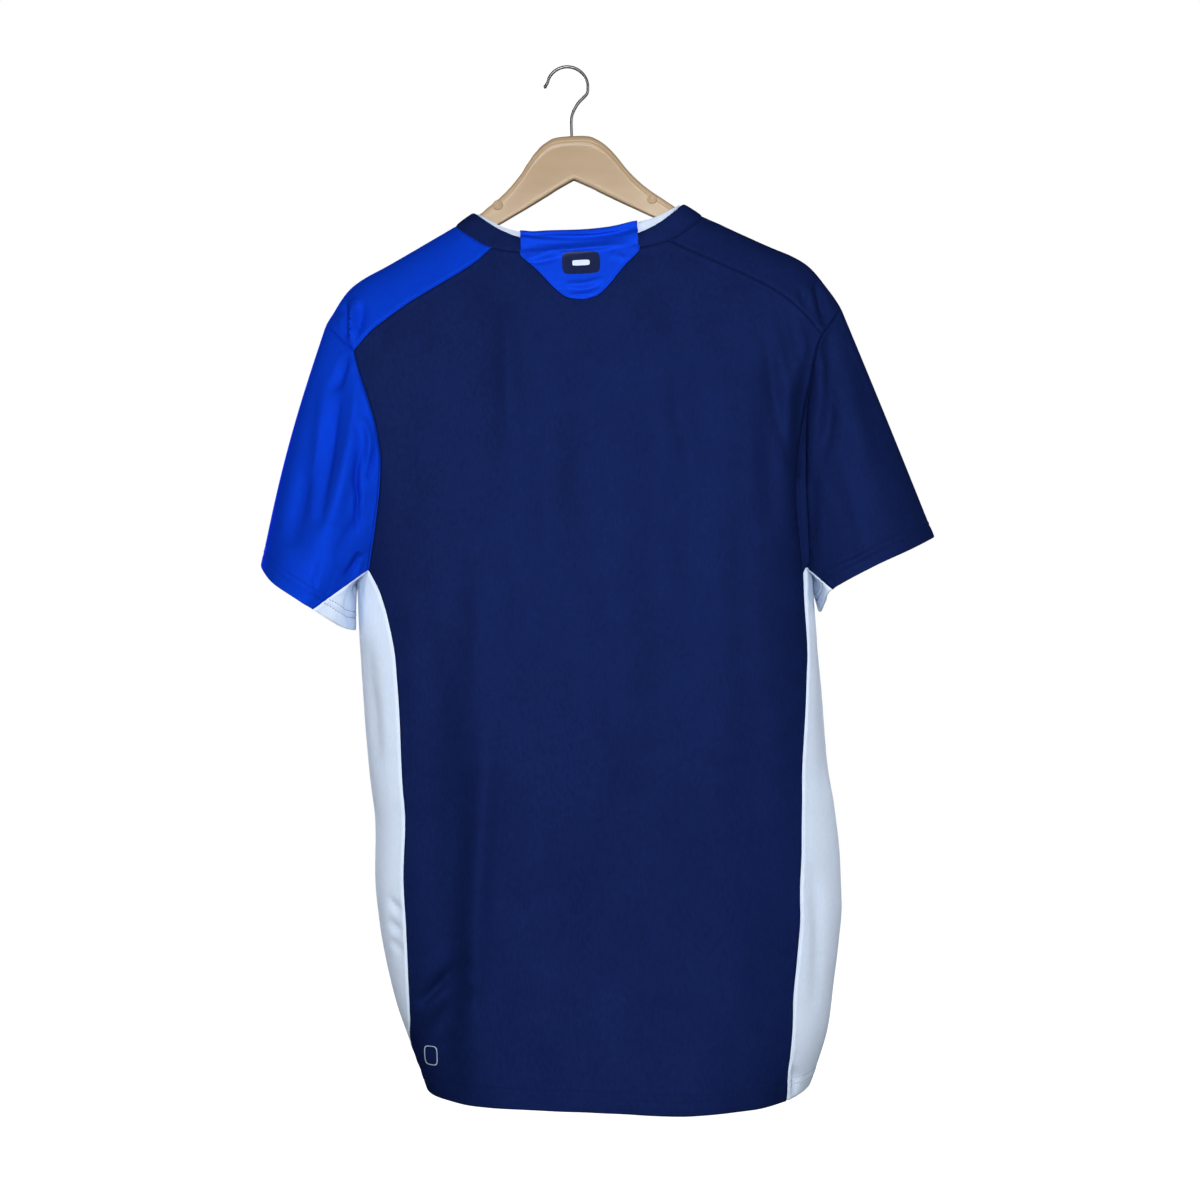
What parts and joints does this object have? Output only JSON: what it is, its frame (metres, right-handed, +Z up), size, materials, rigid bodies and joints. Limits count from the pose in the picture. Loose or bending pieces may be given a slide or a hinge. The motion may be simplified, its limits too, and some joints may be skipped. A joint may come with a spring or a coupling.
{
  "type": "workout t-shirt on a clothes hanger",
  "caption": "Short-sleeved workout t-shirt of knit cloth in navy, royal blue and pale blue, hanging open and hollow on a moulded hanger with a wire hook.",
  "frame": {"origin": "inner top of the hanger's hook, where a rail carries it", "axes": "+Z up, the wearer's back towards -Y, the wearer's left sleeve towards -X"},
  "size_m": [0.5924, 0.2129, 0.9084],
  "materials": {
    "navy_knit": "smooth polyester knit, faint sheen",
    "royal_knit": "smooth polyester knit, soft sheen",
    "pale_knit": "smooth matt polyester knit",
    "hanger_plastic": "satin moulded plastic in a light wood tone",
    "hook_steel": "bright drawn steel wire"
  },
  "bodies": {
    "root": {"back_panel": "navy_knit", "front_panel": "navy_knit", "side_panel_left": "pale_knit", "side_panel_right": "pale_knit", "yoke_left": "royal_knit", "yoke_right": "navy_knit", "sleeve_left": "royal_knit", "sleeve_right": "navy_knit", "gusset_left": "pale_knit", "gusset_right": "pale_knit", "collar_band": "navy_knit", "collar_facing": "pale_knit", "neck_tab": "royal_knit", "hanger_body": "hanger_plastic", "hook": "hook_steel"}
  },
  "joints": []
}
